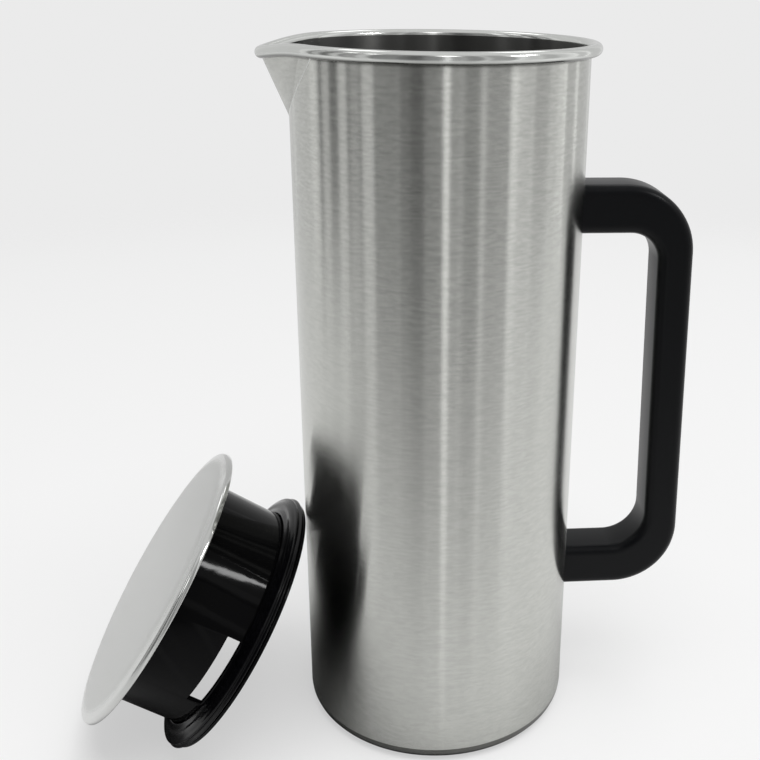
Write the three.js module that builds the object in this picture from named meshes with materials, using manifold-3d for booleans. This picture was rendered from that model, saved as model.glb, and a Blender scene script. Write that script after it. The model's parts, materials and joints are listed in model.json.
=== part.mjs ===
// Steel water jug for a fridge door, with its lid taken off and leaning on the wall.
// Millimetres, Z up. The origin is the centre of the jug's flat base. The handle points
// along +X and the spout along -X.

import * as THREE from 'three';
import { mergeVertices } from 'three/addons/utils/BufferGeometryUtils.js';
import Module from 'manifold-3d';

const wasm = await Module();
wasm.setup();

// Smoothness of the curves
const roundSteps = 72;
const smallRoundSteps = 24;
const cornerSteps = 4;
const beadSteps = 9;
const spoutHalfSteps = 9;
const spoutLevels = 10;

// Fits shared by every piece
const fitGap = 0.3;
const cutOverrun = 1;

// Jug body, drawn from one steel sheet
const jugHeight = 251.3;
const bodyRadius = 50;
const sheet = 0.6;

// Rolled rim, measured from the sheet's inner face and the bead's centre
const beadTube = 2;
const beadSet = 2.15;
const beadSetAtTip = 1;
const beadSkirt = 2.2;

// Base pan, whose shoulder carries the wall
const baseCorner = 5.5;
const baseSheet = 0.8;
const baseUpstand = 3.5;

// Spout, a folded plate let into a notch of the wall
const spoutDrop = 21.1;
const spoutReach = 8;
const spoutDip = 2.5;
const spoutHalfDegrees = 34.5;
const spoutRoundingDegrees = 2.5;
const seamBendShare = 0.66;
const spoutStartShare = 0.5;

// Handle moulding
const handleTopDrop = 47.4;
const handleHeight = 157.3;
const handleWidth = 18;
const handleEdge = 3.2;
const gripThickness = 12.7;
const fingerDepth = 28.5;
const gripLeanDegrees = 1.4;
const upperArmHeight = 17.2;
const lowerArmHeight = 16.1;
const outerCorner = 24.4;
const upperInnerCorner = 10;
const lowerInnerCorner = 13.6;

// Brackets welded to the wall inside the arms
const saddleWidth = 11;
const saddleHeight = 8;
const saddleThickness = 1.5;
const tongueLength = 18;
const tongueWidth = 8;
const tongueThickness = 3;

// Screws that hold the handle from below
const screwSetOut = 12;
const screwShank = 2;
const screwLength = 8;
const screwHead = 3.5;
const screwHeadHeight = 2.2;
const screwRecess = 2.8;
const driveWidth = 0.9;
const driveDepth = 1.2;
const driveReachShare = 0.6;

// Lid neck, hollow and open below, with two windows that the water leaves by
const neckInset = 8.2;
const neckWall = 2;
const neckLength = 33.1;
const footInset = 1.2;
const footThickness = 1.2;
const windowWidth = 27.5;
const windowHeight = 5;
const windowSill = 6.4;
const windowTurnDegrees = 92.5;

// Sealing ring round the neck, standing on the foot
const lipClearance = 0.1;
const sealHeight = 4.7;
// Outline of the ring: share of its width from the neck, share of its height
const sealOutlineShares = [
  [0, 0],
  [0.78, 0],
  [0.97, 0.1],
  [1, 0.22],
  [0.84, 0.33],
  [0.91, 0.46],
  [0.9, 0.58],
  [0.76, 0.66],
  [0.68, 0.76],
  [0.5, 0.88],
  [0.34, 0.8],
  [0.14, 0.96],
  [0, 1],
];

// Steel cap pressed over a moulded plate, a little smaller than the jug's rim
const capInset = 0.95;
const capEdge = 2.3;
const capSlopeWidth = 4.2;
const capSlopeRise = 0.85;
const capDome = 1;
const capSheet = 0.8;
const capShoulder = 1.2;
const capCurl = 0.7;
const plateSpigot = 2;
const plateThickness = 0.9;

// How the lid leans: its axis, and where it stands round the jug
const lidAxisDegrees = 183.8;
const lidTiltDegrees = 33.4;
const lidStandDegrees = 190.6;
const leanSearchSteps = 40;

// Sizes that follow from the ones above
const innerRadius = bodyRadius - sheet;
const beadCentreZ = jugHeight - beadTube;
const wallTopZ = beadCentreZ - beadSkirt;
const spoutFootZ = wallTopZ - spoutDrop;
const rimSeamAngle = THREE.MathUtils.degToRad(spoutHalfDegrees);
const spoutRounding = THREE.MathUtils.degToRad(spoutRoundingDegrees);
const handleTopZ = jugHeight - handleTopDrop;
const handleBottomZ = handleTopZ - handleHeight;
const gripInnerX = bodyRadius + fingerDepth;
const gripOuterX = gripInnerX + gripThickness;
const gripLean = THREE.MathUtils.degToRad(gripLeanDegrees);
const gripMiddleZ = (handleTopZ + handleBottomZ) / 2;
const upperArmZ = handleTopZ - upperArmHeight;
const lowerArmZ = handleBottomZ;
const saddleX = bodyRadius + fitGap + saddleThickness;
const tongueX = bodyRadius + fitGap + tongueLength;
const screwX = bodyRadius + screwSetOut;
const neckRadius = innerRadius - neckInset;
const lipRadius = innerRadius - lipClearance;
const footRadius = innerRadius - footInset;
const capRadius = innerRadius + beadSet + beadTube - capInset;
const capTopZ = neckLength + capEdge;

// Finishes
const satinSteel = { color: 0xb4b7b2, roughness: 0.34, metalness: 1 };
const brightSteel = { color: 0xc9ccc8, roughness: 0.12, metalness: 1 };
const dullSteel = { color: 0x8f9290, roughness: 0.45, metalness: 1 };
const satinBlack = { color: 0x16181a, roughness: 0.42, metalness: 0 };
const glossBlack = { color: 0x0b0b0c, roughness: 0.12, metalness: 0 };
const sealBlack = { color: 0x101011, roughness: 0.5, metalness: 0 };

// Closed body with shared vertices, ready to be joined or cut
function toBody(geometry) {
  const bare = geometry.clone();
  bare.deleteAttribute('normal');
  bare.deleteAttribute('uv');
  const merged = mergeVertices(bare);
  const corners = merged.index.array;
  const triangles = [];
  for (let i = 0; i < corners.length; i += 3) {
    const [a, b, c] = [corners[i], corners[i + 1], corners[i + 2]];
    if (a !== b && b !== c && c !== a) {
      triangles.push(a, b, c);
    }
  }
  return new wasm.Manifold(new wasm.Mesh({
    numProp: 3,
    vertProperties: Float32Array.from(merged.attributes.position.array),
    triVerts: Uint32Array.from(triangles),
  }));
}

function toGeometry(body) {
  const mesh = body.getMesh();
  const geometry = new THREE.BufferGeometry();
  geometry.setAttribute('position', new THREE.BufferAttribute(mesh.vertProperties, 3));
  geometry.setIndex(new THREE.BufferAttribute(mesh.triVerts, 1));
  geometry.computeVertexNormals();
  return geometry;
}

function piece(name, body, finish) {
  const mesh = new THREE.Mesh(toGeometry(body), new THREE.MeshStandardMaterial(finish));
  mesh.name = name;
  return mesh;
}

// Body of revolution about Z; the outline runs anticlockwise as [radius, height]
function turned(outline, steps) {
  const points = outline.map(([radius, height]) => new THREE.Vector2(radius, height));
  return toBody(new THREE.LatheGeometry(points, steps).rotateX(Math.PI / 2));
}

// Ring of revolution, whose outline closes on itself away from the axis
function turnedRing(outline, steps) {
  return turned([...outline, outline[0]], steps);
}

function rod(radius, low, high, steps) {
  return turned([[0, low], [radius, low], [radius, high], [0, high]], steps);
}

function block(low, high) {
  const size = [0, 1, 2].map((i) => high[i] - low[i]);
  const middle = [0, 1, 2].map((i) => (high[i] + low[i]) / 2);
  return toBody(new THREE.BoxGeometry(...size).translate(...middle));
}

// Points of an arc in the outline's plane, both ends included
function arc(centreX, centreY, radius, fromDegrees, toDegrees, steps) {
  const points = [];
  for (let i = 0; i <= steps; i += 1) {
    const angle = THREE.MathUtils.degToRad(fromDegrees + (toDegrees - fromDegrees) * i / steps);
    points.push([centreX + radius * Math.cos(angle), centreY + radius * Math.sin(angle)]);
  }
  return points;
}

// Skin through rings of points. It closes into a loop, or its ends are filled: there each ring
// is a strip, whose first half of points runs out along one side and the rest back.
function skinned(rings, looped) {
  const perRing = rings[0].length;
  const spans = looped ? rings.length : rings.length - 1;
  const corners = [];
  for (let i = 0; i < spans; i += 1) {
    const here = i * perRing;
    const next = ((i + 1) % rings.length) * perRing;
    for (let j = 0; j < perRing; j += 1) {
      const k = (j + 1) % perRing;
      corners.push(here + j, here + k, next + k, here + j, next + k, next + j);
    }
  }
  if (!looped) {
    const top = (rings.length - 1) * perRing;
    for (let a = 0; a < perRing / 2 - 1; a += 1) {
      const [b, c, d] = [a + 1, perRing - 2 - a, perRing - 1 - a];
      corners.push(a, c, b, a, d, c);
      corners.push(top + a, top + b, top + c, top + a, top + c, top + d);
    }
  }
  const geometry = new THREE.BufferGeometry().setFromPoints(rings.flat());
  geometry.setIndex(corners);
  return toBody(geometry);
}

// Spout form. Each level of the plate runs straight from its seams to a rounded ridge.
// Angles are measured from the spout's own direction.
function softAngle(angle) {
  return Math.hypot(angle, spoutRounding) - spoutRounding;
}

function seamAngle(z) {
  const climb = Math.max((z - spoutFootZ) / spoutDrop, 0);
  return rimSeamAngle * climb ** seamBendShare;
}

function wallRadiusAt(angle, z) {
  const seam = seamAngle(z);
  if (Math.abs(angle) >= seam) {
    return bodyRadius;
  }
  const climb = (z - spoutFootZ) / (spoutDrop - spoutDip);
  const ridge = bodyRadius + spoutReach * climb;
  const lean = Math.atan2(ridge / bodyRadius - Math.cos(seam), Math.sin(seam));
  const turn = seam * softAngle(angle) / softAngle(seam);
  return bodyRadius * Math.cos(seam - lean) / Math.cos(turn - lean);
}

// One at the spout's tip, nought where the plate meets the round wall
function tipShare(angle) {
  return (1 - Math.min(softAngle(angle) / softAngle(rimSeamAngle), 1)) ** 2;
}

function onSpout(radius, angle, z) {
  return new THREE.Vector3(-radius * Math.cos(angle), -radius * Math.sin(angle), z);
}

function vesselWall() {
  const tube = turnedRing([
    [innerRadius, baseCorner],
    [bodyRadius, baseCorner],
    [bodyRadius, wallTopZ],
    [innerRadius, wallTopZ],
  ], roundSteps);
  return tube.subtract(spoutNotch());
}

// Levels of the plate and its notch, closer together near the foot, where the seam turns
function spoutLevelShares() {
  const shares = [];
  for (let i = 0; i <= spoutLevels; i += 1) {
    const step = (i + spoutStartShare) / (spoutLevels + spoutStartShare);
    shares.push(step ** (1 / seamBendShare));
  }
  return shares;
}

// Cutter for the notch: as wide as the plate and its gap at every level
function spoutNotch() {
  const gapAngle = fitGap / bodyRadius;
  const inside = innerRadius - cutOverrun;
  const outside = bodyRadius + cutOverrun;
  const rings = [];
  for (const share of [0, ...spoutLevelShares()]) {
    const z = spoutFootZ + spoutDrop * share;
    const half = seamAngle(z) + gapAngle;
    const outer = [];
    const inner = [];
    for (let j = -spoutHalfSteps; j <= spoutHalfSteps; j += 1) {
      const angle = half * j / spoutHalfSteps;
      outer.push(onSpout(outside, angle, z));
      inner.unshift(onSpout(inside, angle, z));
    }
    rings.push([...outer, ...inner]);
  }
  const above = rings.at(-1).map((p) => new THREE.Vector3(p.x, p.y, p.z + cutOverrun));
  rings[0].forEach((p) => p.setZ(p.z - fitGap));
  return skinned([...rings, above], false);
}

function pourSpout() {
  const rings = [];
  const plateTopZ = wallTopZ - fitGap;
  for (const share of spoutLevelShares()) {
    const half = seamAngle(spoutFootZ + (plateTopZ - spoutFootZ) * share);
    const outer = [];
    const inner = [];
    for (let j = -spoutHalfSteps; j <= spoutHalfSteps; j += 1) {
      const angle = half * j / spoutHalfSteps;
      const topZ = plateTopZ - spoutDip * tipShare(rimSeamAngle * j / spoutHalfSteps);
      const z = spoutFootZ + (topZ - spoutFootZ) * share;
      const radius = wallRadiusAt(angle, z);
      outer.push(onSpout(radius, angle, z));
      inner.unshift(onSpout(radius - sheet, angle, z));
    }
    rings.push([...outer, ...inner]);
  }
  return skinned(rings, false);
}

// Rolled bead with the short skirt that stands on the wall and on the spout plate
function rimBead() {
  const stops = [];
  for (let j = -spoutHalfSteps; j <= spoutHalfSteps; j += 1) {
    stops.push(rimSeamAngle * j / spoutHalfSteps);
  }
  const roundSpan = 2 * (Math.PI - rimSeamAngle);
  for (let i = 1; i < roundSteps; i += 1) {
    stops.push(rimSeamAngle + roundSpan * i / roundSteps);
  }
  const plateLine = (angle) => {
    const offset = angle > Math.PI ? angle - 2 * Math.PI : angle;
    const z = beadCentreZ - spoutDip * tipShare(offset);
    const radius = wallRadiusAt(offset, z - beadSkirt) - sheet;
    return { z, share: tipShare(offset), point: onSpout(radius, angle, z) };
  };
  const rings = stops.map((angle, i) => {
    const before = plateLine(stops[(i + stops.length - 1) % stops.length]).point;
    const after = plateLine(stops[(i + 1) % stops.length]).point;
    const along = after.sub(before).setZ(0).normalize();
    const outward = new THREE.Vector3(along.y, -along.x, 0);
    const { z, share, point } = plateLine(angle);
    const set = beadSet + (beadSetAtTip - beadSet) * share;
    return beadOutline(set).map(([out, up]) => {
      return point.clone().addScaledVector(outward, out).setZ(z + up);
    });
  });
  return skinned(rings, true);
}

// Clockwise from the skirt's inner corner: up the inside, over the bead and down the outside
function beadOutline(set) {
  const low = THREE.MathUtils.radToDeg(Math.acos((sheet - set) / beadTube));
  const high = THREE.MathUtils.radToDeg(Math.acos(Math.max(-set / beadTube, -1)));
  const bead = arc(set, 0, beadTube, 360 - high, -low, beadSteps);
  return [[0, -beadSkirt], ...bead, [sheet, -beadSkirt]];
}

function basePan() {
  const flatRadius = bodyRadius - baseCorner;
  const upstandRadius = innerRadius - fitGap;
  const upstandInner = upstandRadius - baseSheet;
  const innerCornerRadius = baseCorner - baseSheet;
  return turned([
    [0, 0],
    ...arc(flatRadius, baseCorner, baseCorner, -90, 0, cornerSteps),
    [upstandRadius, baseCorner],
    [upstandRadius, baseCorner + baseUpstand],
    [upstandInner, baseCorner + baseUpstand],
    ...arc(upstandInner - innerCornerRadius, baseCorner, innerCornerRadius, 0, -90, cornerSteps),
    [0, baseSheet],
  ], roundSteps);
}

// Loop of the handle in the XZ plane, before its arm ends are cut to the wall. The bar stands a little
// further out at its foot, and its two faces have their named distances at the middle of the handle.
function handleOutline() {
  const rootX = bodyRadius - 2 * handleEdge;
  const lowerArmTop = lowerArmZ + lowerArmHeight;
  const quarter = Math.PI / 2;
  const shape = new THREE.Shape();
  const roundCorner = (barX, centreZ, radius, start, end, clockwise) => {
    const faceX = barX - (centreZ - gripMiddleZ) * Math.tan(gripLean);
    shape.absarc(faceX - radius / Math.cos(gripLean), centreZ, radius, start, end, clockwise);
  };
  shape.moveTo(rootX, lowerArmTop);
  shape.lineTo(rootX, handleBottomZ);
  roundCorner(gripOuterX, handleBottomZ + outerCorner, outerCorner, -quarter, gripLean, false);
  roundCorner(gripOuterX, handleTopZ - outerCorner, outerCorner, gripLean, quarter, false);
  shape.lineTo(rootX, handleTopZ);
  shape.lineTo(rootX, upperArmZ);
  roundCorner(gripInnerX, upperArmZ - upperInnerCorner, upperInnerCorner, quarter, gripLean, true);
  roundCorner(gripInnerX, lowerArmTop + lowerInnerCorner, lowerInnerCorner, gripLean, -quarter, true);
  shape.closePath();
  return shape;
}

function handleGrip() {
  const flatWidth = handleWidth - 2 * handleEdge;
  const moulding = new THREE.ExtrudeGeometry(handleOutline(), {
    depth: flatWidth,
    curveSegments: cornerSteps + 2,
    bevelThickness: handleEdge,
    bevelSize: handleEdge,
    bevelOffset: -handleEdge,
    bevelSegments: 3,
  });
  moulding.rotateX(Math.PI / 2).translate(0, flatWidth / 2, 0);
  let body = toBody(moulding);
  body = body.subtract(wallCutter());
  for (const [armZ, armHeight] of [[upperArmZ, upperArmHeight], [lowerArmZ, lowerArmHeight]]) {
    const middleZ = armZ + armHeight / 2;
    body = body.subtract(armPocket(saddleX, saddleWidth, saddleHeight, middleZ));
    body = body.subtract(armPocket(tongueX, tongueWidth, tongueThickness, middleZ));
    body = body.subtract(screwHole(armZ));
  }
  return body;
}

// Round space that the jug takes up, with the gap that pieces cut to it keep
function wallCutter() {
  return rod(bodyRadius + fitGap, 0, jugHeight, roundSteps);
}

function armPocket(farX, width, height, middleZ) {
  const halfWidth = width / 2 + fitGap;
  const halfHeight = height / 2 + fitGap;
  return block(
    [innerRadius - cutOverrun, -halfWidth, middleZ - halfHeight],
    [farX + fitGap, halfWidth, middleZ + halfHeight],
  );
}

function screwHole(armZ) {
  const seatZ = armZ + screwRecess;
  const recess = rod(screwHead + fitGap, armZ - cutOverrun, seatZ + fitGap, smallRoundSteps);
  const hole = rod(screwShank + fitGap, armZ, seatZ + screwLength + fitGap, smallRoundSteps);
  return recess.add(hole).translate([screwX, 0, 0]);
}

function bracket(armZ, armHeight) {
  const middleZ = armZ + armHeight / 2;
  const saddle = block(
    [innerRadius - cutOverrun, -saddleWidth / 2, middleZ - saddleHeight / 2],
    [saddleX, saddleWidth / 2, middleZ + saddleHeight / 2],
  );
  const tongue = block(
    [bodyRadius, -tongueWidth / 2, middleZ - tongueThickness / 2],
    [tongueX, tongueWidth / 2, middleZ + tongueThickness / 2],
  );
  return saddle.add(tongue).subtract(wallCutter()).subtract(screwHole(armZ));
}

// Pan-head screw pushed up from below, with a cross recess
function screw(armZ) {
  const seatZ = armZ + screwRecess;
  const headZ = seatZ - screwHeadHeight;
  const shank = rod(screwShank, seatZ - cutOverrun, seatZ + screwLength, smallRoundSteps);
  const crown = arc(0, headZ + screwHeadHeight / 2, screwHeadHeight / 2, -90, 0, cornerSteps);
  const head = turned([
    [0, headZ],
    ...crown.map(([out, height]) => [screwHead - screwHeadHeight / 2 + out, height]),
    [screwHead, seatZ],
    [0, seatZ],
  ], smallRoundSteps);
  const reach = screwHead * driveReachShare;
  const lowZ = headZ - cutOverrun;
  const driveZ = headZ + driveDepth;
  const across = block([-reach, -driveWidth / 2, lowZ], [reach, driveWidth / 2, driveZ]);
  const along = block([-driveWidth / 2, -reach, lowZ], [driveWidth / 2, reach, driveZ]);
  return head.add(shank).subtract(across).subtract(along).translate([screwX, 0, 0]);
}

// Outlines of the lid, as [radius, height above the foot's lower face]
function neckOutline() {
  return [
    [neckRadius - neckWall, 0],
    [footRadius, 0],
    [footRadius, footThickness],
    [neckRadius, footThickness],
    [neckRadius, neckLength],
    [neckRadius - neckWall, neckLength],
  ];
}

function sealOutline() {
  const inner = neckRadius + fitGap;
  const low = footThickness + fitGap;
  return sealOutlineShares.map(([outShare, upShare]) => {
    return [inner + (lipRadius - inner) * outShare, low + sealHeight * upShare];
  });
}

function lidNeck() {
  const reach = neckRadius + cutOverrun;
  const windows = block(
    [-reach, -windowWidth / 2, windowSill],
    [reach, windowWidth / 2, windowSill + windowHeight],
  );
  const turnedWindows = windows.rotate([0, 0, windowTurnDegrees]);
  return turnedRing(neckOutline(), roundSteps).subtract(turnedWindows);
}

function lidPlate() {
  const spigotRadius = neckRadius - neckWall - fitGap;
  const low = neckLength + fitGap;
  const edge = capRadius - capSheet - fitGap;
  const chamfer = capShoulder - capSheet;
  return turned([
    [0, low - plateSpigot],
    [spigotRadius, low - plateSpigot],
    [spigotRadius, low],
    [edge, low],
    [edge, low + plateThickness - chamfer],
    [edge - chamfer, low + plateThickness],
    [0, low + plateThickness],
  ], roundSteps);
}

// Slightly domed face inside a sloped rim, then a rounded shoulder and a straight edge with a small curl
function lidCap() {
  const slopeRadius = capRadius - capShoulder;
  const faceRadius = slopeRadius - capSlopeWidth;
  const domeShares = [0, 0.35, 0.7, 1];
  const face = domeShares.map((share) => [faceRadius * share, capSlopeRise + capDome * (1 - share ** 2)]);
  const crown = [...face, [slopeRadius, 0]];
  const outside = [...crown].reverse().map(([radius, rise]) => [radius, capTopZ + rise]);
  const inside = crown.map(([radius, rise]) => [radius, capTopZ - capSheet + rise]);
  const innerShoulder = capShoulder - capSheet;
  return turned([
    ...inside,
    ...arc(slopeRadius, capTopZ - capShoulder, innerShoulder, 90, 0, 1).slice(1),
    [capRadius - capSheet, neckLength + capCurl / 2],
    [capRadius - capCurl, neckLength],
    [capRadius - capCurl / 2, neckLength],
    [capRadius, neckLength + capCurl],
    ...arc(slopeRadius, capTopZ - capShoulder, capShoulder, 0, 90, cornerSteps).slice(0, -1),
    ...outside,
  ], roundSteps);
}

// Leaning lid: its lowest edge stands on the floor and its rim comes up to the jug's wall
const lidTilt = THREE.MathUtils.degToRad(lidTiltDegrees);
const lidAxis = THREE.MathUtils.degToRad(lidAxisDegrees);
const lidStand = THREE.MathUtils.degToRad(lidStandDegrees);
const touchingOutline = [...neckOutline(), ...sealOutline()];

function standingHeight() {
  const drops = touchingOutline.map(([radius, height]) => {
    return radius * Math.cos(lidTilt) - height * Math.sin(lidTilt);
  });
  return Math.max(...drops);
}

function leastGapToWall(distance) {
  const axis = new THREE.Vector2(Math.cos(lidAxis), Math.sin(lidAxis));
  const side = new THREE.Vector2(-axis.y, axis.x);
  let least = Infinity;
  for (const [radius, height] of touchingOutline) {
    for (let i = 0; i < roundSteps; i += 1) {
      const angle = 2 * Math.PI * i / roundSteps;
      const forward = height * Math.cos(lidTilt) + radius * Math.cos(angle) * Math.sin(lidTilt);
      const point = new THREE.Vector2(distance * Math.cos(lidStand), distance * Math.sin(lidStand));
      point.addScaledVector(axis, forward).addScaledVector(side, radius * Math.sin(angle));
      least = Math.min(least, point.length() - bodyRadius);
    }
  }
  return least;
}

function standingDistance() {
  let near = bodyRadius;
  let far = bodyRadius + 2 * lipRadius;
  for (let i = 0; i < leanSearchSteps; i += 1) {
    const middle = (near + far) / 2;
    if (leastGapToWall(middle) < fitGap) {
      near = middle;
    } else {
      far = middle;
    }
  }
  return far;
}

function jug() {
  const group = new THREE.Group();
  group.add(piece('vessel_wall', vesselWall(), satinSteel));
  group.add(piece('base_pan', basePan(), dullSteel));
  group.add(piece('pour_spout', pourSpout(), satinSteel));
  group.add(piece('rim_bead', rimBead(), brightSteel));
  group.add(piece('handle_grip', handleGrip(), satinBlack));
  group.add(piece('upper_bracket', bracket(upperArmZ, upperArmHeight), dullSteel));
  group.add(piece('lower_bracket', bracket(lowerArmZ, lowerArmHeight), dullSteel));
  group.add(piece('upper_screw', screw(upperArmZ), dullSteel));
  group.add(piece('lower_screw', screw(lowerArmZ), dullSteel));
  return group;
}

function lid() {
  const upright = new THREE.Group();
  upright.add(piece('lid_cap', lidCap(), satinSteel));
  upright.add(piece('lid_plate', lidPlate(), glossBlack));
  upright.add(piece('lid_neck', lidNeck(), glossBlack));
  upright.add(piece('seal_ring', turnedRing(sealOutline(), roundSteps), sealBlack));
  upright.rotation.y = Math.PI / 2 - lidTilt;

  const group = new THREE.Group();
  group.add(upright);
  group.rotation.z = lidAxis;
  const distance = standingDistance();
  group.position.set(
    distance * Math.cos(lidStand),
    distance * Math.sin(lidStand),
    standingHeight(),
  );
  return group;
}

const waterJug = new THREE.Group();
waterJug.add(jug(), lid());

export default waterJug;
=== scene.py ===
"""Looks of a steel water jug for a fridge door: brushed wall, folded spout, rolled rim, black handle, and the plug
lid that leans beside it. Metres, Z up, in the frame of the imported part."""

import json
import math

import bmesh
import bpy
from mathutils import Matrix, Vector


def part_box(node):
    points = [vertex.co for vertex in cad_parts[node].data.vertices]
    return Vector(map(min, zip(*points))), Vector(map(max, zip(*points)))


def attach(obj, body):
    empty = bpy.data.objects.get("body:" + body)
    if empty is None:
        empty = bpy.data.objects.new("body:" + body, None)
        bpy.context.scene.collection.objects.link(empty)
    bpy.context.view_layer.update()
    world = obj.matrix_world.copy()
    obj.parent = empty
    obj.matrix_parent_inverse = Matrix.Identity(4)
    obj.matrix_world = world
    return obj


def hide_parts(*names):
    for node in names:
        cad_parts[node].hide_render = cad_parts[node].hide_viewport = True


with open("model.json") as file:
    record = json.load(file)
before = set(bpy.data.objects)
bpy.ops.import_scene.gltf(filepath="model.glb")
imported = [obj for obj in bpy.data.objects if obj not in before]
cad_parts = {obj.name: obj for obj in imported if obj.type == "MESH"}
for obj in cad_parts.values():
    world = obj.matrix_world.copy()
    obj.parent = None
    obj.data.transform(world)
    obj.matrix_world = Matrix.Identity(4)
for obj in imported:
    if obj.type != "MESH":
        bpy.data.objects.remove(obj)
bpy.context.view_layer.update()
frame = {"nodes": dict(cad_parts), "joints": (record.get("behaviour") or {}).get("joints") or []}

# The photograph's camera
PICTURE_PIXELS = 760
FOCAL_PIXELS = 1066.2
# Where the lens axis meets the picture
AXIS_PIXEL = (463.55, 346.76)
SENSOR_WIDTH = 36
CAMERA_PLACE = (-0.0254, -0.3636, 0.2757)
CAMERA_YAW_DEGREES = 5.46
CAMERA_PITCH_DEGREES = -19.94
CAMERA_ROLL_DEGREES = 0.84
NEAREST_SEEN = 0.01

# Jug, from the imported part
wall_low, wall_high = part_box("vessel_wall")
_, rim_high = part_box("rim_bead")
_, base_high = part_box("base_pan")
BODY_RADIUS = wall_high.y
WALL_FOOT_Z = wall_low.z
WALL_TOP_Z = wall_high.z

# Jug sizes that the boxes don't show
SHEET = 0.0006
BASE_SHEET = 0.0008
BEAD_TUBE = 0.002
# How far the bead's centre lies outside the sheet's inner face
BEAD_SET = 0.00215
BEAD_SET_AT_TIP = 0.001
SPOUT_DROP = 0.0211
SPOUT_REACH = 0.008
SPOUT_DIP = 0.0025
RIM_SEAM_ANGLE = math.radians(34.5)
LEAST_SEAM_ANGLE = math.radians(0.1)
SPOUT_ROUNDING = math.radians(2.5)
SEAM_BEND_SHARE = 0.66
SEAM_LINE_RADIUS = 0.0003
SEAM_LINE_PROUD = 0.0001
BEAD_CENTRE_Z = rim_high.z - BEAD_TUBE
SPOUT_FOOT_Z = WALL_TOP_Z - SPOUT_DROP
INNER_RADIUS = BODY_RADIUS - SHEET

# Handle
grip_low, grip_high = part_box("handle_grip")
GRIP_THICKNESS = 0.0127
FINGER_DEPTH = 0.0285
GRIP_LEAN = math.radians(1.4)
UPPER_ARM_HEIGHT = 0.0172
LOWER_ARM_HEIGHT = 0.0161
OUTER_CORNER = 0.0244
UPPER_INNER_CORNER = 0.01
LOWER_INNER_CORNER = 0.0136
HANDLE_EDGE = 0.0032
# A face belongs to a flat side of the handle when the Y of its normal is more than this
FLAT_SIDE = 0.999

# Lid, in its own frame: Z runs from the foot to the cap
turning = next(joint for joint in frame["joints"] if joint["name"] == "lid_turn")
NECK_RADIUS = 0.0412
NECK_WALL = 0.002
NECK_LENGTH = 0.0331
FOOT_RADIUS = 0.0482
FOOT_THICKNESS = 0.0012
FOOT_EDGE = 0.0003
WINDOW_WIDTH = 0.0275
WINDOW_HEIGHT = 0.005
WINDOW_SILL = 0.0064
WINDOW_TURN = math.radians(92.5)
LIP_RADIUS = 0.0493
SEAL_GAP = 0.0001
SEAL_HEIGHT = 0.0047
CAP_RADIUS = 0.0526
CAP_EDGE = 0.0023
CAP_SLOPE_WIDTH = 0.0042
CAP_SLOPE_RISE = 0.00085
CAP_DOME = 0.001
CAP_SHEET = 0.0008
CAP_SHOULDER = 0.0012
CAP_CURL = 0.0007
PLATE_GAP = 0.0003
PLATE_THICKNESS = 0.0009
PLATE_SPIGOT = 0.002
# Outline of the seal: share of its width from the neck, share of its height
SEAL_OUTLINE_SHARES = (
    (0, 0), (0.78, 0), (0.97, 0.1), (1, 0.22), (0.84, 0.33), (0.91, 0.46), (0.9, 0.58),
    (0.76, 0.66), (0.68, 0.76), (0.5, 0.88), (0.34, 0.8), (0.14, 0.96), (0, 1),
)

# Narrow strip of faces beside an edge, which keeps the reflections straight next to it
SUPPORT_RING = 0.0007

# Smoothness of the meshes
ROUND_STEPS = 240
RIM_STEPS = 480
TUBE_STEPS = 24
SPOUT_COLUMNS = 48
SPOUT_ROWS = 24
BODY_ROWS = 24
DOME_STEPS = 12
ARC_STEPS = 6
CORNER_STEPS = 24
EDGE_STEPS = 2
SEAL_SMOOTHING = 2
SAME_PLACE = 0.000001
SHARP_ANGLE = math.radians(35)

# Sockets of a Mix node for colours, which share their names with others
MIX_FACTOR, MIX_FIRST, MIX_SECOND, MIX_RESULT = 0, 6, 7, 2


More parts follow.
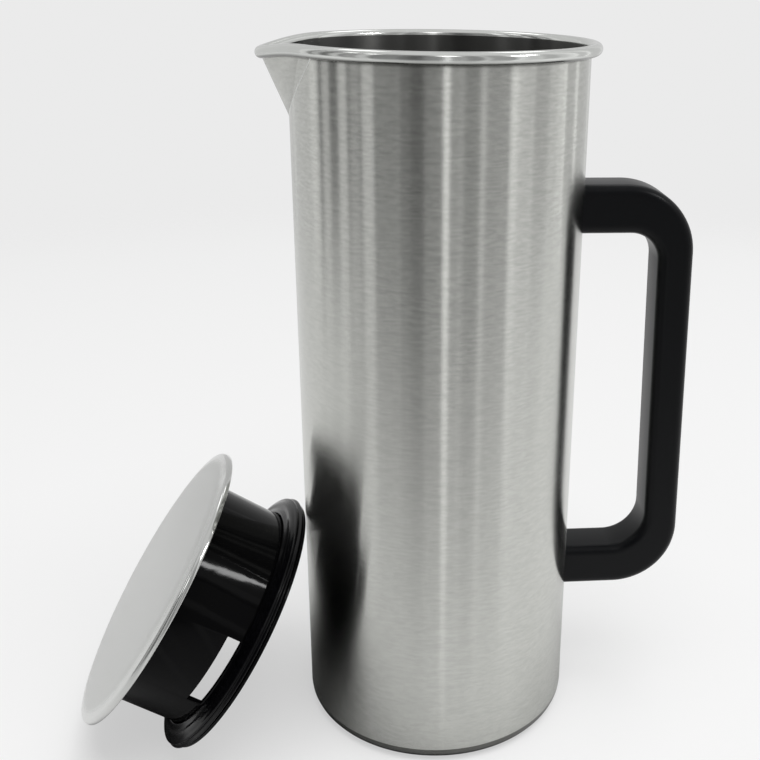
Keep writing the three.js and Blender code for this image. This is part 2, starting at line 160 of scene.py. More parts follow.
class Flow:
    """A value on its way through a node tree. Sums and products of values add Math nodes."""

    def __init__(self, tree, socket=None):
        self.tree = tree
        self.socket = socket

    def node(self, kind, values=None, output=0, **settings):
        """Adds a node with its settings and the values or links of its sockets, and returns one output."""
        new = self.tree.nodes.new(kind)
        for name, setting in settings.items():
            setattr(new, name, setting)
        for key, value in (values or {}).items():
            if isinstance(value, Flow):
                self.tree.links.new(value.socket, new.inputs[key])
            else:
                new.inputs[key].default_value = value
        return Flow(self.tree, new.outputs[output] if new.outputs else None)

    def maths(self, operation, *values):
        """Result of a Math node on just these values."""
        return self.node("ShaderNodeMath", dict(enumerate(values)), operation=operation)

    def __add__(self, other):
        return self.maths("ADD", self, other)

    def __sub__(self, other):
        return self.maths("SUBTRACT", self, other)

    def __rsub__(self, other):
        return self.maths("SUBTRACT", other, self)

    def __mul__(self, other):
        return self.maths("MULTIPLY", self, other)

    __radd__ = __add__

    def ease(self, low, high):
        """Nought below low, one above high, and smooth between them."""
        limits = {"Value": self, "From Min": low, "From Max": high}
        return self.node("ShaderNodeMapRange", limits, interpolation_type="SMOOTHSTEP")

    def part(self, name):
        """The X, Y or Z of a vector."""
        return self.node("ShaderNodeSeparateXYZ", {0: self}, output=name)

    def length(self):
        """Distance of a place from nought."""
        return self.node("ShaderNodeVectorMath", {0: self}, output="Value", operation="LENGTH")

    def squeezed(self, up):
        """The same place with its height multiplied: a pattern gets flatter, or with nought it has no height."""
        return self.node("ShaderNodeVectorMath", {0: self, 1: (1, 1, up)}, operation="MULTIPLY")

    def noise(self, scale, detail=2.0, roughness=0.5):
        """Soft noise from nought to one at these coordinates."""
        values = {"Vector": self, "Scale": scale, "Detail": detail, "Roughness": roughness}
        return self.node("ShaderNodeTexNoise", values)

    def blend(self, first, second):
        """Colour that goes from first to second as this value goes from nought to one."""
        first, second = (c if isinstance(c, Flow) else (*c, 1) for c in (first, second))
        values = {MIX_FACTOR: self, MIX_FIRST: first, MIX_SECOND: second}
        return self.node("ShaderNodeMix", values, output=MIX_RESULT, data_type="RGBA")


# Camera, light and floor

def add_camera():
    """Camera at the photograph's viewing angle, with its off-centre axis as lens shift."""
    data = bpy.data.cameras.new("photo_camera")
    data.sensor_width = SENSOR_WIDTH
    data.lens = FOCAL_PIXELS / PICTURE_PIXELS * SENSOR_WIDTH
    data.shift_x = 0.5 - AXIS_PIXEL[0] / PICTURE_PIXELS
    data.shift_y = AXIS_PIXEL[1] / PICTURE_PIXELS - 0.5
    data.clip_start = NEAREST_SEEN
    camera = bpy.data.objects.new("photo_camera", data)
    yaw, pitch, roll = (math.radians(a) for a in (CAMERA_YAW_DEGREES, CAMERA_PITCH_DEGREES, CAMERA_ROLL_DEGREES))
    forward = Vector((math.sin(yaw) * math.cos(pitch), math.cos(yaw) * math.cos(pitch), math.sin(pitch)))
    level = Vector((math.cos(yaw), -math.sin(yaw), 0))
    upright = level.cross(forward)
    right = math.cos(roll) * level + math.sin(roll) * upright
    up = math.cos(roll) * upright - math.sin(roll) * level
    camera.matrix_world = Matrix.Translation(CAMERA_PLACE) @ Matrix((right, up, -forward)).transposed().to_4x4()
    bpy.context.scene.collection.objects.link(camera)
    bpy.context.scene.camera = camera


# Room that the object mirrors, in degrees: azimuth from the camera's side towards the handle, and elevation.
# Upright strips of light: azimuth, half width, brightness above ROOM_DIM
ROOM_STRIPS = (
    (-127, 21, 0.6), (-112, 3, 0.18), (-97, 3, 0.49), (-80, 3, 0.61), (-69, 3, 0.31), (-58, 4, 0.6),
    (-42, 8, 0.17), (-30, 4, 0.08), (-9, 5, 0.18), (1.2, 1.3, 1.1), (5.2, 2, 0.22), (12, 1.5, 0.19),
    (18, 10, 0.2), (28.5, 1, 0.42), (38, 8, 0.31), (52, 3, 0.27), (60, 9, 0.6), (77, 7, 0.43),
    (90, 4, 0.65), (100, 4, 0.84), (106, 2, 0.51), (116, 6, 0.56), (135, 15, 0.56), (181, 30, 0.56),
)
# Small bright patches: azimuth, elevation, half size, brightness
ROOM_PATCHES = ((3, 44, 5, 2.5), (-80, 43, 3, 2), (-60, 43, 3, 2), (150, 50, 6, 2), (-150, 55, 6, 2))
ROOM_DIM = 0.12
ROOM_EDGE = 2
ROOM_CEILING = 0.8
CEILING_FADE = (40, 65)
PLAIN_LIGHT = (0.3, 0.3, 0.3)
BACKDROP_COLOUR = (0.83, 0.83, 0.83)
FLOOR_COLOUR = (0.89, 0.89, 0.89)
# Share of the floor's own brightness in what the camera sees of it
FLOOR_PLAIN_SHARE = 0.6
# In mirror images the floor gets a painted shadow where something stands close over it
PAINTED_SHADOW_REACH = 0.15
PAINTED_SHADOW_FADE = (0.1, 0.75)
PAINTED_SHADOW_SAMPLES = 4
FLOOR_RADIUS = 1.2
FLOOR_FADE = (0.68, 0.98)
# Distance in front of the jug's axis from which the floor also fades towards the camera's side
FLOOR_FRONT = 0.06
FLOOR_FRONT_REACH = 0.3
# Lamps: place, width and height, power, and whether it lights the object or only glints on it
LAMPS = (
    ("ceiling_panel", (0.35, -0.4, 2.2), (1.8, 1.8), 50, True),
    ("window_glint", (0.95, -0.53, 1.0), (0.3, 0.06), 2.4, False),
)


def light_room():
    """World: a plain pale backdrop for the camera, and for the object a dim room with lights in it."""
    world = bpy.data.worlds.new("room")
    world.use_nodes = True
    bpy.context.scene.world = world
    world.node_tree.nodes.clear()
    start = Flow(world.node_tree)
    way = start.node("ShaderNodeTexCoord")
    azimuth = start.maths("ARCTAN2", way.part("X"), 0 - way.part("Y")) * (180 / math.pi)
    height = start.maths("ARCSINE", way.part("Z")) * (180 / math.pi)
    level = ROOM_DIM
    for centre, half, strength in ROOM_STRIPS:
        away = start.maths("ABSOLUTE", start.maths("WRAP", azimuth - centre, 180, -180))
        level = level + (1 - away.ease(half, half + ROOM_EDGE)) * strength
    overhead = height.ease(*CEILING_FADE)
    level = level * (1 - overhead) + overhead * ROOM_CEILING
    for centre, elevation, half, strength in ROOM_PATCHES:
        heading, rise = math.radians(centre), math.radians(elevation)
        aim = (math.sin(heading) * math.cos(rise), -math.cos(heading) * math.cos(rise), math.sin(rise))
        near = start.node("ShaderNodeVectorMath", {0: way, 1: aim}, output="Value", operation="DOT_PRODUCT")
        edges = (math.cos(math.radians(half + ROOM_EDGE)), math.cos(math.radians(half)))
        level = level + near.ease(*edges) * strength
    room = start.node("ShaderNodeCombineColor", {0: level, 1: level, 2: level})
    mirrored = start.node("ShaderNodeLightPath", output="Is Glossy Ray")
    seen = start.node("ShaderNodeLightPath", output="Is Camera Ray")
    colour = seen.blend(mirrored.blend(PLAIN_LIGHT, room), BACKDROP_COLOUR)
    shown = start.node("ShaderNodeBackground", {"Color": colour, "Strength": 1})
    start.node("ShaderNodeOutputWorld", {"Surface": shown})
    world.cycles.sampling_method = "NONE"


def add_lamps():
    """Panel lamps that look at the middle of the jug."""
    middle = Vector((0, 0, WALL_TOP_Z / 2))
    for name, place, (width, height), power, lights in LAMPS:
        data = bpy.data.lights.new(name, "AREA")
        data.shape = "RECTANGLE"
        data.size = width
        data.size_y = height
        data.energy = power
        lamp = bpy.data.objects.new(name, data)
        lamp.visible_diffuse = lights
        lamp.visible_glossy = not lights
        lamp.location = place
        lamp.rotation_euler = (middle - Vector(place)).to_track_quat("-Z", "Y").to_euler()
        bpy.context.scene.collection.objects.link(lamp)


def add_floor():
    """Round pale table top whose edge fades into the backdrop."""
    bm = bmesh.new()
    bmesh.ops.create_circle(bm, cap_ends=True, segments=ROUND_STEPS, radius=FLOOR_RADIUS)
    mesh = bpy.data.meshes.new("floor")
    bm.to_mesh(mesh)
    bm.free()
    floor = bpy.data.objects.new("floor", mesh)
    bpy.context.scene.collection.objects.link(floor)
    material, start = new_material("floor")
    place = place_on_piece(start)
    in_front = start.maths("MINIMUM", place.part("Y") + FLOOR_FRONT, 0)
    shown = (1 - place.length().ease(*FLOOR_FADE)) * start.maths("EXPONENT", in_front * (1 / FLOOR_FRONT_REACH))
    seen = start.node("ShaderNodeLightPath", output="Is Camera Ray")
    mirrored = start.node("ShaderNodeLightPath", output="Is Glossy Ray")
    # Painted shadow: for mirror rays the floor's colour darkens where ambient occlusion finds something close over it
    reach = {"Distance": PAINTED_SHADOW_REACH}
    open_above = start.node("ShaderNodeAmbientOcclusion", reach, output="AO", samples=PAINTED_SHADOW_SAMPLES)
    painted_shadow = (1 - open_above.ease(*PAINTED_SHADOW_FADE)) * mirrored
    lit = start.node("ShaderNodeBsdfDiffuse", {"Color": painted_shadow.blend(FLOOR_COLOUR, (0, 0, 0))})
    plain = start.node("ShaderNodeEmission", {"Color": (*FLOOR_COLOUR, 1), "Strength": 1})
    paper = start.node("ShaderNodeMixShader", {0: seen * FLOOR_PLAIN_SHARE, 1: lit, 2: plain})
    gone = start.node("ShaderNodeBsdfTransparent")
    surface = start.node("ShaderNodeMixShader", {0: shown, 1: gone, 2: paper})
    start.node("ShaderNodeOutputMaterial", {"Surface": surface})
    mesh.materials.append(material)


# Materials

# Darker and lighter tone of each material
BRUSHED_TONES = ((0.5, 0.505, 0.48), (0.59, 0.595, 0.565))
POLISHED_TONES = ((0.62, 0.63, 0.61), (0.7, 0.71, 0.69))
PAINTED_SEAM_HIGHLIGHT_TONES = ((0.66, 0.67, 0.65), (0.76, 0.77, 0.75))
INNER_TONES = ((0.54, 0.545, 0.53), (0.62, 0.625, 0.61))
PLAIN_TONES = ((0.4, 0.405, 0.39), (0.48, 0.485, 0.47))
CAP_TONES = ((0.5, 0.505, 0.495), (0.66, 0.665, 0.65))
HANDLE_TONES = ((0.0006, 0.0008, 0.0014), (0.0012, 0.0016, 0.0024))
LID_TONES = ((0.001, 0.001, 0.001), (0.002, 0.002, 0.0025))
SEAL_TONES = ((0.0015, 0.0015, 0.002), (0.004, 0.004, 0.005))
# Painted shade: tones painted where a piece sees little light
PAINTED_RIM_SHADE_TONE = (0.08, 0.08, 0.075)
PAINTED_BEAD_SHADE_TONE = (0.06, 0.06, 0.055)
PAINTED_MOUTH_SHADE_TONE = (0.15, 0.15, 0.145)
PAINTED_UNDERSIDE_SHADE_TONE = (0.16, 0.16, 0.15)
# Heights, from the bead's foot, between which the painted shade darkens the wall
PAINTED_RIM_SHADE_FADE = (-0.0011, 0.0003)
# Heights, from the wall's top, between which the painted shade darkens the inside
PAINTED_MOUTH_SHADE_FADE = (-0.045, -0.012)
# Fineness of the brushing round the cap's middle
CAP_RINGS_PER_METRE = 2500
# Brushing round the body draws a mirror image out upwards
BRUSHED_ROUND = {"Anisotropic": 0.95, "Anisotropic Rotation": 0.25}


def new_material(name):
    """An empty material, and the start of its flow."""
    material = bpy.data.materials.new(name)
    material.use_nodes = True
    material.node_tree.nodes.clear()
    return material, Flow(material.node_tree)


def finish_material(start, values, bump, strength, distance=0.0001):
    """Closes a material with a Principled shader, and a Bump node that reads its height from bump."""
    values["Normal"] = start.node("ShaderNodeBump", {"Height": bump, "Strength": strength, "Distance": distance})
    shader = start.node("ShaderNodeBsdfPrincipled", values)
    start.node("ShaderNodeOutputMaterial", {"Surface": shader})


def place_on_piece(start):
    """Place in the piece's own frame, which is the part's frame."""
    return start.node("ShaderNodeTexCoord", output="Object")


def facing_down(start, low, high):
    """Mask for painted shade: nought where a face looks up or aside, one where it looks down."""
    facing = start.node("ShaderNodeNewGeometry", output="Normal")
    return (0 - facing.part("Z")).ease(low, high)


def place_on_lid(start):
    """Place in the lid's own frame, so that its patterns run round its axis."""
    turn = {"Vector": place_on_piece(start), "Location": LID_PLACE.to_translation(), "Rotation": LID_PLACE.to_euler()}
    return start.node("ShaderNodeMapping", turn, vector_type="TEXTURE")


def brushed_steel():
    """Steel brushed round the body in fine level lines, with painted shade under the rim."""
    material, start = new_material("brushed_steel")
    place = place_on_piece(start)
    lines = place.squeezed(5).noise(210, detail=3, roughness=0.6)
    fine = place.squeezed(3).noise(450, detail=2, roughness=0.6)
    cloud = place.noise(14, detail=2)
    tone = lines * 0.6 + fine * 0.4
    rim_foot = BEAD_CENTRE_Z - BEAD_TUBE
    # Painted shade: a narrow dark band on the wall just under the bead
    painted_rim_shade = place.part("Z").ease(*(rim_foot + height for height in PAINTED_RIM_SHADE_FADE))
    finish_material(start, {
        "Base Color": painted_rim_shade.blend(tone.ease(0.3, 0.7).blend(*BRUSHED_TONES), PAINTED_RIM_SHADE_TONE),
        "Roughness": 0.175 + tone * 0.07 + cloud * 0.03,
        "Metallic": 1,
        **BRUSHED_ROUND,
    }, bump=tone, strength=0.12, distance=0.00005)
    return material


def polished_steel():
    """Bright rolled steel with faint wear, and painted shade on its underside."""
    material, start = new_material("polished_steel")
    place = place_on_piece(start)
    wear = place.noise(60, detail=3)
    finish_material(start, {
        # Painted shade: faces of the bead that look down get a dark tone
        "Base Color": facing_down(start, 0.3, 0.85).blend(wear.blend(*POLISHED_TONES), PAINTED_BEAD_SHADE_TONE),
        "Roughness": 0.1 + wear * 0.1,
        "Metallic": 1,
    }, bump=place.noise(400), strength=0.05)
    return material


def seam_highlight_steel():
    """Seam line: satin, its tone painted brighter than the wall as a highlight along the fold."""
    material, start = new_material("seam_highlight_steel")
    grain = place_on_piece(start).noise(900, detail=2)
    finish_material(start, {
        # Painted highlight: the seam's tone is brighter than the wall's
        "Base Color": grain.blend(*PAINTED_SEAM_HIGHLIGHT_TONES),
        "Roughness": 0.4 + grain * 0.1,
        "Metallic": 1,
    }, bump=grain, strength=0.1)
    return material


def inner_steel():
    """Inside of the jug: dull drawn sheet, with painted shade that darkens it towards the rim."""
    material, start = new_material("inner_steel")
    place = place_on_piece(start)
    grain = place.squeezed(8).noise(120, detail=3)
    # Painted shade: the inside is painted darker towards the rim
    painted_mouth_shade = place.part("Z").ease(*(WALL_TOP_Z + height for height in PAINTED_MOUTH_SHADE_FADE))
    finish_material(start, {
        "Base Color": painted_mouth_shade.blend(grain.blend(*INNER_TONES), PAINTED_MOUTH_SHADE_TONE),
        "Roughness": 0.26 + grain * 0.08,
        "Metallic": 1,
        **BRUSHED_ROUND,
    }, bump=grain, strength=0.08)
    return material


def plain_steel():
    """Base pan, brackets and screws: mill finish, with painted shade where it faces down."""
    material, start = new_material("plain_steel")
    grain = place_on_piece(start).noise(300, detail=3)
    finish_material(start, {
        # Painted shade: faces that look down get a dark tone
        "Base Color": facing_down(start, 0.02, 0.12).blend(grain.blend(*PLAIN_TONES), PAINTED_UNDERSIDE_SHADE_TONE),
        "Roughness": 0.16 + grain * 0.08,
        "Metallic": 1,
    }, bump=grain, strength=0.08)
    return material


def cap_steel():
    """Cap: satin face brushed round its middle, and a glossier edge."""
    material, start = new_material("cap_steel")
    place = place_on_lid(start)
    out = place.squeezed(0).length()
    rings = start.node("ShaderNodeCombineXYZ", {0: out * CAP_RINGS_PER_METRE})
    lines = rings.noise(1, detail=3)
    cloud = place.noise(35, detail=3)
    edge = out.ease(CAP_RADIUS - CAP_SHOULDER - CAP_SLOPE_WIDTH, CAP_RADIUS - CAP_SHOULDER)
    finish_material(start, {
        "Base Color": (lines * 0.5 + cloud * 0.5).blend(*CAP_TONES),
        "Roughness": (0.3 + cloud * 0.14) * (1 - edge) + edge * 0.12,
        "Metallic": 1,
    }, bump=lines, strength=0.05, distance=0.00003)
    return material


def handle_plastic():
    """Satin black moulding with a fine spark-eroded grain."""
    material, start = new_material("handle_plastic")
    place = place_on_piece(start)
    grain = place.noise(2500, detail=2)
    cloud = place.noise(35, detail=3)
    finish_material(start, {
        "Base Color": cloud.blend(*HANDLE_TONES),
        "Roughness": 0.26 + cloud * 0.06 + grain * 0.04,
        "Specular IOR Level": 0.16,
    }, bump=grain, strength=0.08)
    return material


def lid_plastic():
    """Glossy black moulding, slightly wavy."""
    material, start = new_material("lid_plastic")
    place = place_on_lid(start)
    waves = place.squeezed(0.6).noise(160, detail=2)
    finish_material(start, {
        "Base Color": place.noise(40).blend(*LID_TONES),
        "Roughness": 0.04 + place.noise(90, detail=3) * 0.05,
        "Specular IOR Level": 0.08,
    }, bump=waves, strength=0.12, distance=0.0004)
    return material


def seal_rubber():
    """Black silicone with faint dust."""
    material, start = new_material("seal_rubber")
    dust = place_on_lid(start).noise(700, detail=4)
    finish_material(start, {
        "Base Color": dust.ease(0.45, 0.8).blend(*SEAL_TONES),
        "Roughness": 0.13 + dust * 0.12,
        "Specular IOR Level": 0.15,
    }, bump=dust, strength=0.05)
    return material


# Meshes

def spun(outline, closed=False):
    """Body of revolution about Z, from an outline of (radius, height)."""
    bm = bmesh.new()
    corners = [bm.verts.new((radius, 0, height)) for radius, height in outline]
    pairs = list(zip(corners, corners[1:]))
    if closed:
        pairs.append((corners[-1], corners[0]))
    edges = [bm.edges.new(pair) for pair in pairs]
    bmesh.ops.spin(bm, geom=corners + edges, cent=(0, 0, 0), axis=(0, 0, 1), angle=2 * math.pi,
                   steps=ROUND_STEPS, use_merge=True)
    tidy_up(bm)
    return bm


def tidy_up(bm):
    """Merges doubled corners and turns all faces outwards."""
    bmesh.ops.remove_doubles(bm, verts=bm.verts, dist=SAME_PLACE)
    bmesh.ops.recalc_face_normals(bm, faces=bm.faces)


def arc(centre, radius, start, end):
    """Points of a round stretch of an outline, from one angle in degrees to another."""
    turns = (math.radians(start + (end - start) * i / ARC_STEPS) for i in range(ARC_STEPS + 1))
    return [(centre[0] + radius * math.cos(turn), centre[1] + radius * math.sin(turn)) for turn in turns]


def mapped_grid(columns, rows, place):
    """Grid whose corner in column i and row j is moved to place(i, j)."""
    half = 0.5
    bm = bmesh.new()
    bmesh.ops.create_grid(bm, x_segments=columns, y_segments=rows, size=half)
    for corner in bm.verts:
        corner.co = place(round((corner.co.x + half) * columns), round((corner.co.y + half) * rows))
    tidy_up(bm)
    return bm


def round_edges(bm, size):
    """Rounds every sharp edge."""
    sharp = [edge for edge in bm.edges if edge.is_manifold and edge.calc_face_angle() > SHARP_ANGLE]
    bmesh.ops.bevel(bm, geom=sharp, offset=size, segments=EDGE_STEPS, profile=0.5, affect="EDGES", material=-1)


def add_piece(name, bm, body, slot, *nodes, finish=None):
    """Turns bm into a smooth piece that rides on a body and stands for CAD nodes."""
    mesh = bpy.data.meshes.new(name)
    bm.to_mesh(mesh)
    bm.free()
    mesh.shade_smooth()
    mesh.set_sharp_from_angle(angle=SHARP_ANGLE)
    mesh.materials.append(MATERIALS[finish or slot])
    piece = bpy.data.objects.new(name, mesh)
    bpy.context.scene.collection.objects.link(piece)
    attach(piece, body)
    if nodes:
        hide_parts(*nodes)
    return piece


def add_thickness(piece, thickness):
    """Sheet steel: the drawn face is the outside, and the thickness goes inwards. Its cut edges stay crisp."""
    bm = bmesh.new()
    bm.from_mesh(piece.data)
    for edge in bm.edges:
        if edge.is_boundary:
            edge.smooth = False
    bm.to_mesh(piece.data)
    bm.free()
    piece.data.materials.append(MATERIALS["inner_steel"])
    solid = piece.modifiers.new("sheet", "SOLIDIFY")
    solid.material_offset = 1
    solid.material_offset_rim = 1
    solid.thickness = thickness
    solid.offset = -1
    solid.use_even_offset = True


# Form of the spout. Angles are measured from its own direction.

def soft_angle(angle):
    """Angle from the spout's middle, eased there so that the ridge is rounded."""
    return math.hypot(angle, SPOUT_ROUNDING) - SPOUT_ROUNDING


def seam_angle(z):
    """Angle at which a seam lies at a height; it turns outwards faster near the spout's foot."""
    climb = max((z - SPOUT_FOOT_Z) / SPOUT_DROP, 0)
    return RIM_SEAM_ANGLE * climb ** SEAM_BEND_SHARE


def tip_share(angle):
    """One at the spout's tip, nought where the plate meets the round wall."""
    return (1 - min(soft_angle(angle) / soft_angle(RIM_SEAM_ANGLE), 1)) ** 2


def plate_radius(angle, z):
    """Distance of the plate from the axis: at every level it runs straight from its seams to a rounded ridge."""
    seam = max(seam_angle(z), LEAST_SEAM_ANGLE)
    if abs(angle) >= seam:
        return BODY_RADIUS
    ridge = BODY_RADIUS + SPOUT_REACH * (z - SPOUT_FOOT_Z) / (SPOUT_DROP - SPOUT_DIP)
    lean = math.atan2(ridge / BODY_RADIUS - math.cos(seam), math.sin(seam))
    turn = seam * soft_angle(angle) / soft_angle(seam)
    return BODY_RADIUS * math.cos(seam - lean) / math.cos(turn - lean)


def at_spout(radius, angle, z):
    """Point at a distance from the axis, an angle from the spout's direction and a height."""
    return Vector((-radius * math.cos(angle), -radius * math.sin(angle), z))


def spout_climb(row):
    """Share of the spout's height at a row; rows are closer together near the foot, where the seam turns."""
    return (row / SPOUT_ROWS) ** (1 / SEAM_BEND_SHARE)


# Pieces of the jug

def add_wall():
    """Brushed wall with the notch that the spout is let into; its top row runs up inside the rolled rim."""
    rows = BODY_ROWS + SPOUT_ROWS + 1

    def place(column, row):
        if row <= BODY_ROWS:
            z = WALL_FOOT_Z + (SPOUT_FOOT_Z - WALL_FOOT_Z) * row / BODY_ROWS
        else:
            z = SPOUT_FOOT_Z + SPOUT_DROP * spout_climb(min(row - BODY_ROWS, SPOUT_ROWS))
        seam = seam_angle(z)
        turn = seam + 2 * (math.pi - seam) * column / ROUND_STEPS
        return at_spout(BODY_RADIUS, turn, BEAD_CENTRE_Z if row == rows else z)

    wall = add_piece("brushed_wall", mapped_grid(ROUND_STEPS, rows, place), "jug", "brushed_steel", "vessel_wall")
    add_thickness(wall, SHEET)


def add_spout():
    """Folded plate of the spout."""
    rows = SPOUT_ROWS + 1

    def place(column, row):
        side = 2 * column / SPOUT_COLUMNS - 1
        top = WALL_TOP_Z - SPOUT_DIP * tip_share(RIM_SEAM_ANGLE * side)
        climb = spout_climb(min(row, SPOUT_ROWS))
        seam = seam_angle(SPOUT_FOOT_Z + SPOUT_DROP * climb)
        z = SPOUT_FOOT_Z + (top - SPOUT_FOOT_Z) * climb
        radius = plate_radius(seam * side, z)
        return at_spout(radius, seam * side, z + BEAD_CENTRE_Z - WALL_TOP_Z if row == rows else z)

    plate = add_piece("spout_plate", mapped_grid(SPOUT_COLUMNS, rows, place), "jug", "brushed_steel", "pour_spout")
    add_thickness(plate, SHEET)


def swept(path, radius):
    """Round bar along a path of points that doesn't turn upwards sharply."""
    def place(column, row):
        before, after = path[max(row - 1, 0)], path[min(row + 1, len(path) - 1)]
        along = (after - before).normalized()
        side = along.cross(Vector((0, 0, 1))).normalized()
        turn = 2 * math.pi * column / TUBE_STEPS
        return path[row] + radius * (math.cos(turn) * side + math.sin(turn) * side.cross(along))
    return mapped_grid(TUBE_STEPS, len(path) - 1, place)


def add_seams():
    """Thin weld line down each side of the spout."""
    for name, side in (("left_seam", 1), ("right_seam", -1)):
        path = []
        for row in range(1, SPOUT_ROWS + 1):
            z = SPOUT_FOOT_Z + SPOUT_DROP * spout_climb(row)
            path.append(at_spout(BODY_RADIUS + SEAM_LINE_PROUD - SEAM_LINE_RADIUS, side * seam_angle(z), z))
        add_piece(name, swept(path, SEAM_LINE_RADIUS), "jug", "polished_steel", finish="seam_highlight_steel")


def rim_line(angle):
    """Point of the sheet's inner face at the height of the bead's centre."""
    z = BEAD_CENTRE_Z - SPOUT_DIP * tip_share(angle)
    level = WALL_TOP_Z - SPOUT_DIP * tip_share(angle)
    return at_spout(plate_radius(angle, level) - SHEET, angle, z)


def add_rim():
    """Rolled bead round the mouth, which dips and narrows at the spout."""
    def place(column, row):
        angle = 2 * math.pi * column / RIM_STEPS - math.pi
        step = math.pi / RIM_STEPS
        along = rim_line(angle + step) - rim_line(angle - step)
        outward = Vector((along.y, -along.x, 0)).normalized()
        share = tip_share(angle)
        bead_set = BEAD_SET + (BEAD_SET_AT_TIP - BEAD_SET) * share
        turn = 2 * math.pi * row / TUBE_STEPS
        out = bead_set + BEAD_TUBE * math.cos(turn)
        return rim_line(angle) + outward * out + Vector((0, 0, BEAD_TUBE * math.sin(turn)))
    add_piece("rolled_rim", mapped_grid(RIM_STEPS, TUBE_STEPS, place), "jug", "polished_steel", "rim_bead")


def add_base():
    """Base pan: flat bottom, rounded edge flush with the wall, and the upstand inside it."""
    corner = WALL_FOOT_Z
    upstand = INNER_RADIUS
    inside = upstand - BASE_SHEET
    inner_corner = corner - BASE_SHEET
    outline = [
        (0, 0),
        *arc((BODY_RADIUS - corner, corner), corner, -90, 0),
        (upstand, corner),
        (upstand, base_high.z),
        (inside, base_high.z),
        *arc((inside - inner_corner, corner), inner_corner, 0, -90),
        (0, BASE_SHEET),
    ]
    add_piece("base_shell", spun(outline), "jug", "plain_steel", "base_pan")


def add_handle():
    """D-shaped moulding: an outline with rounded corners, drawn out across and softened along its edges."""
    low, high = grip_low.z, grip_high.z
    inner = BODY_RADIUS + FINGER_DEPTH
    outer = inner + GRIP_THICKNESS

    def on_bar(face, z):
        """The bar stands a little further out at its foot."""
        return face - (z - (low + high) / 2) * math.tan(GRIP_LEAN), z

    bm = bmesh.new()
    outline = [
        (BODY_RADIUS, low), on_bar(outer, low), on_bar(outer, high), (BODY_RADIUS, high),
        (BODY_RADIUS, high - UPPER_ARM_HEIGHT), on_bar(inner, high - UPPER_ARM_HEIGHT),
        on_bar(inner, low + LOWER_ARM_HEIGHT), (BODY_RADIUS, low + LOWER_ARM_HEIGHT),
    ]
    corners = [bm.verts.new((x, grip_low.y, z)) for x, z in outline]
    bm.faces.new(corners)
    # Radius of each rounded corner, by its place in the outline
    rounded = {1: OUTER_CORNER, 2: OUTER_CORNER, 5: UPPER_INNER_CORNER, 6: LOWER_INNER_CORNER}
    for which, radius in rounded.items():
        bmesh.ops.bevel(bm, geom=[corners[which]], offset=radius, segments=CORNER_STEPS, profile=0.5,
                        affect="VERTICES", material=-1)
    drawn = bmesh.ops.extrude_face_region(bm, geom=bm.faces[:])
    moved = [v for v in drawn["geom"] if isinstance(v, bmesh.types.BMVert)]
    bmesh.ops.translate(bm, verts=moved, vec=(0, grip_high.y - grip_low.y, 0))
    bmesh.ops.recalc_face_normals(bm, faces=bm.faces)
    long_edges = [e for e in bm.edges if e.calc_face_angle() > SHARP_ANGLE and not at_wall(e)]
    bmesh.ops.bevel(bm, geom=long_edges, offset=HANDLE_EDGE, segments=ARC_STEPS, profile=0.5, affect="EDGES",
                    material=-1)
    flat_sides = [face for face in bm.faces if abs(face.normal.y) > FLAT_SIDE]
    bmesh.ops.inset_region(bm, faces=flat_sides, thickness=SUPPORT_RING, use_boundary=True)
    for corner in bm.verts:
        if corner.co.x < BODY_RADIUS + SAME_PLACE:
            corner.co.x = math.sqrt(BODY_RADIUS ** 2 - corner.co.y ** 2)
    add_piece("handle_loop", bm, "jug", "handle_plastic", "handle_grip")


def at_wall(edge):
    """Whether an edge of the handle lies against the wall."""
    return all(corner.co.x < BODY_RADIUS + SAME_PLACE for corner in edge.verts)


# Pieces of the lid

def lid_matrix():
    """From the lid's own frame to where it leans."""
    axis = Vector(turning["axis"])
    tilt = math.asin(axis.z)
    facing = Matrix.Rotation(math.atan2(axis.y, axis.x), 4, "Z")
    return Matrix.Translation(turning["pos_m"]) @ facing @ Matrix.Rotation(math.pi / 2 - tilt, 4, "Y")


def add_lid_piece(name, bm, body, slot, *nodes):
    """Adds a piece that was drawn in the lid's own frame."""
    bmesh.ops.transform(bm, matrix=LID_PLACE, verts=bm.verts)
    return add_piece(name, bm, body, slot, *nodes)


def add_neck():
    """Tube with two windows, and the foot flange below it."""
    window_levels = (WINDOW_SILL, WINDOW_SILL + WINDOW_HEIGHT)
    levels = (0, SUPPORT_RING, *window_levels, NECK_LENGTH - SUPPORT_RING, NECK_LENGTH)
    bm = spun([(NECK_RADIUS, z) for z in levels])
    openings = [face for face in bm.faces if in_window(face.calc_center_median())]
    bmesh.ops.delete(bm, geom=openings, context="FACES")
    bmesh.ops.solidify(bm, geom=bm.faces[:], thickness=NECK_WALL)
    bmesh.ops.recalc_face_normals(bm, faces=bm.faces)
    round_edges(bm, FOOT_EDGE)
    bmesh.ops.rotate(bm, cent=(0, 0, 0), matrix=Matrix.Rotation(WINDOW_TURN, 3, "Z"), verts=bm.verts)
    add_lid_piece("neck_tube", bm, "lid", "lid_plastic", "lid_neck")

    inner = NECK_RADIUS - NECK_WALL
    outline = [(inner, 0), (FOOT_RADIUS, 0), (FOOT_RADIUS, FOOT_THICKNESS), (inner, FOOT_THICKNESS)]
    flange = spun(outline, closed=True)
    round_edges(flange, FOOT_EDGE)
    add_lid_piece("foot_flange", flange, "lid", "lid_plastic")


def in_window(centre):
    """Whether a face of the neck lies in one of the two windows, which are opposite each other."""
    return WINDOW_SILL < centre.z < WINDOW_SILL + WINDOW_HEIGHT and abs(centre.y) < WINDOW_WIDTH / 2


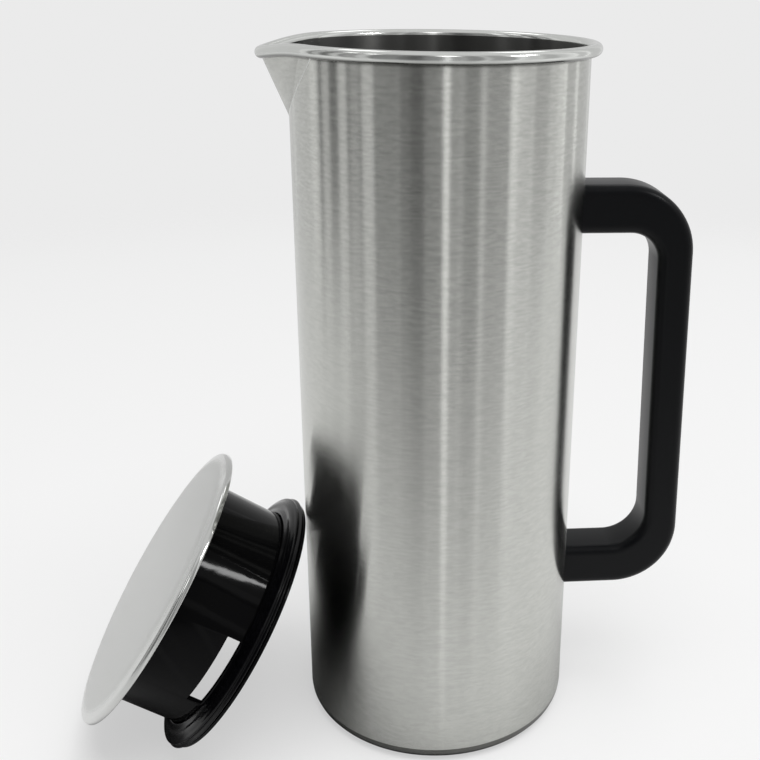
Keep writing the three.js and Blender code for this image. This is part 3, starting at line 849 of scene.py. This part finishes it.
def add_seal():
    """Rubber ring with its two lips and the rib that grips the neck."""
    low = FOOT_THICKNESS + SEAL_GAP
    width = LIP_RADIUS - NECK_RADIUS
    outline = [(NECK_RADIUS + width * out, low + (SEAL_HEIGHT + SEAL_GAP) * up) for out, up in SEAL_OUTLINE_SHARES]
    seal = add_lid_piece("seal_lips", spun(outline, closed=True), "lid_seal", "seal_rubber", "seal_ring")
    smooth = seal.modifiers.new("smooth", "SUBSURF")
    smooth.levels = smooth.render_levels = SEAL_SMOOTHING


def add_cap():
    """Steel cap: slightly domed face inside a sloped rim, a rounded shoulder, and an edge with a small curl."""
    slope_radius = CAP_RADIUS - CAP_SHOULDER
    face_radius = slope_radius - CAP_SLOPE_WIDTH
    top = NECK_LENGTH + CAP_EDGE
    shares = [i / DOME_STEPS for i in range(DOME_STEPS + 1)]
    crown = [(face_radius * share, top + CAP_SLOPE_RISE + CAP_DOME * (1 - share ** 2)) for share in shares]
    crown.append((slope_radius, top))
    inside = [(radius, height - CAP_SHEET) for radius, height in crown]
    shoulder = (slope_radius, top - CAP_SHOULDER)
    edge_centre = (CAP_RADIUS - CAP_CURL / 2, NECK_LENGTH + CAP_CURL / 2)
    outline = [
        *inside,
        *arc(shoulder, CAP_SHOULDER - CAP_SHEET, 90, 0)[1:],
        *arc(edge_centre, CAP_CURL / 2, 180, 360),
        *arc(shoulder, CAP_SHOULDER, 0, 90)[:-1],
        *reversed(crown),
    ]
    add_lid_piece("cap_disc", spun(outline), "lid", "cap_steel", "lid_cap")


def add_plate():
    """Moulded disc that closes the neck under the cap."""
    spigot = NECK_RADIUS - NECK_WALL - PLATE_GAP
    low = NECK_LENGTH + PLATE_GAP
    edge = CAP_RADIUS - CAP_SHEET - PLATE_GAP
    chamfer = CAP_SHOULDER - CAP_SHEET
    outline = [
        (0, low - PLATE_SPIGOT), (spigot, low - PLATE_SPIGOT), (spigot, low), (edge, low),
        (edge, low + PLATE_THICKNESS - chamfer), (edge - chamfer, low + PLATE_THICKNESS),
        (0, low + PLATE_THICKNESS),
    ]
    add_lid_piece("closing_disc", spun(outline), "lid", "lid_plastic", "lid_plate")


def dress_kept_nodes():
    """Brackets and screws keep the meshes that came with the part."""
    for name in ("upper_bracket", "lower_bracket", "upper_screw", "lower_screw"):
        node = frame["nodes"][name]
        node.data.materials.clear()
        node.data.materials.append(MATERIALS["plain_steel"])


LID_PLACE = lid_matrix()
MATERIALS = {make.__name__: make() for make in (
    brushed_steel, polished_steel, seam_highlight_steel, inner_steel, plain_steel, cap_steel,
    handle_plastic, lid_plastic, seal_rubber,
)}

bpy.context.scene.view_settings.view_transform = "Standard"
add_camera()
light_room()
add_lamps()
add_floor()
add_wall()
add_spout()
add_seams()
add_rim()
add_base()
add_handle()
add_neck()
add_seal()
add_cap()
add_plate()
dress_kept_nodes()
